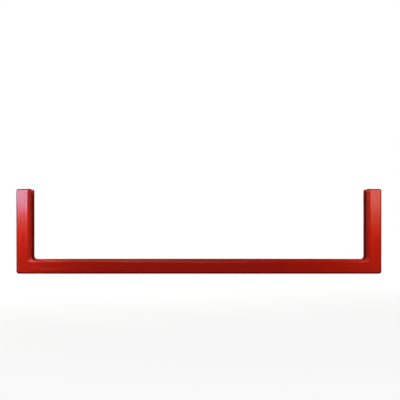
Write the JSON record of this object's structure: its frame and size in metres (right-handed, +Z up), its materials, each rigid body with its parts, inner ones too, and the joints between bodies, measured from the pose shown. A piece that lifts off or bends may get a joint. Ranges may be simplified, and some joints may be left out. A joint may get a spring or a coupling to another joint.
{
  "type": "basketball backboard pad",
  "caption": "U-shaped moulded foam pad that bolts onto the bottom edge and lower corners of a basketball backboard, with steel backing strips in its slot.",
  "frame": {"origin": "under the middle of the pad, on its flat underside", "axes": "+X along the board to the right as seen from the front, +Y from the front of the board to its back, +Z up"},
  "size_m": [1.9304, 0.0908, 0.4498],
  "materials": {
    "foam_skin": "glossy moulded skin",
    "zinc_steel": "zinc plated",
    "rivet_steel": "plain steel",
    "bolt_steel": "zinc plated",
    "washer_steel": "zinc plated",
    "plug_plastic": "satin"
  },
  "bodies": {
    "root": {"pad_moulding": "foam_skin", "bottom_backing_strip": "zinc_steel", "left_backing_strip": "zinc_steel", "right_backing_strip": "zinc_steel", "left_corner_angle": "zinc_steel", "left_corner_rivet_1": "rivet_steel", "left_corner_rivet_2": "rivet_steel", "left_corner_rivet_3": "rivet_steel", "left_corner_rivet_4": "rivet_steel", "right_corner_angle": "zinc_steel", "right_corner_rivet_1": "rivet_steel", "right_corner_rivet_2": "rivet_steel", "right_corner_rivet_3": "rivet_steel", "right_corner_rivet_4": "rivet_steel", "bottom_bolt_1": "bolt_steel", "bottom_flat_washer_1": "washer_steel", "bottom_lock_washer_1": "washer_steel", "bottom_hole_plug_1": "plug_plastic", "bottom_bolt_2": "bolt_steel", "bottom_flat_washer_2": "washer_steel", "bottom_lock_washer_2": "washer_steel", "bottom_hole_plug_2": "plug_plastic", "bottom_bolt_3": "bolt_steel", "bottom_flat_washer_3": "washer_steel", "bottom_lock_washer_3": "washer_steel", "bottom_hole_plug_3": "plug_plastic", "bottom_bolt_4": "bolt_steel", "bottom_flat_washer_4": "washer_steel", "bottom_lock_washer_4": "washer_steel", "bottom_hole_plug_4": "plug_plastic", "bottom_bolt_5": "bolt_steel", "bottom_flat_washer_5": "washer_steel", "bottom_lock_washer_5": "washer_steel", "bottom_hole_plug_5": "plug_plastic", "left_bolt_1": "bolt_steel", "left_flat_washer_1": "washer_steel", "left_lock_washer_1": "washer_steel", "left_hole_plug_1": "plug_plastic", "left_bolt_2": "bolt_steel", "left_flat_washer_2": "washer_steel", "left_lock_washer_2": "washer_steel", "left_hole_plug_2": "plug_plastic", "right_bolt_1": "bolt_steel", "right_flat_washer_1": "washer_steel", "right_lock_washer_1": "washer_steel", "right_hole_plug_1": "plug_plastic", "right_bolt_2": "bolt_steel", "right_flat_washer_2": "washer_steel", "right_lock_washer_2": "washer_steel", "right_hole_plug_2": "plug_plastic"}
  },
  "joints": []
}
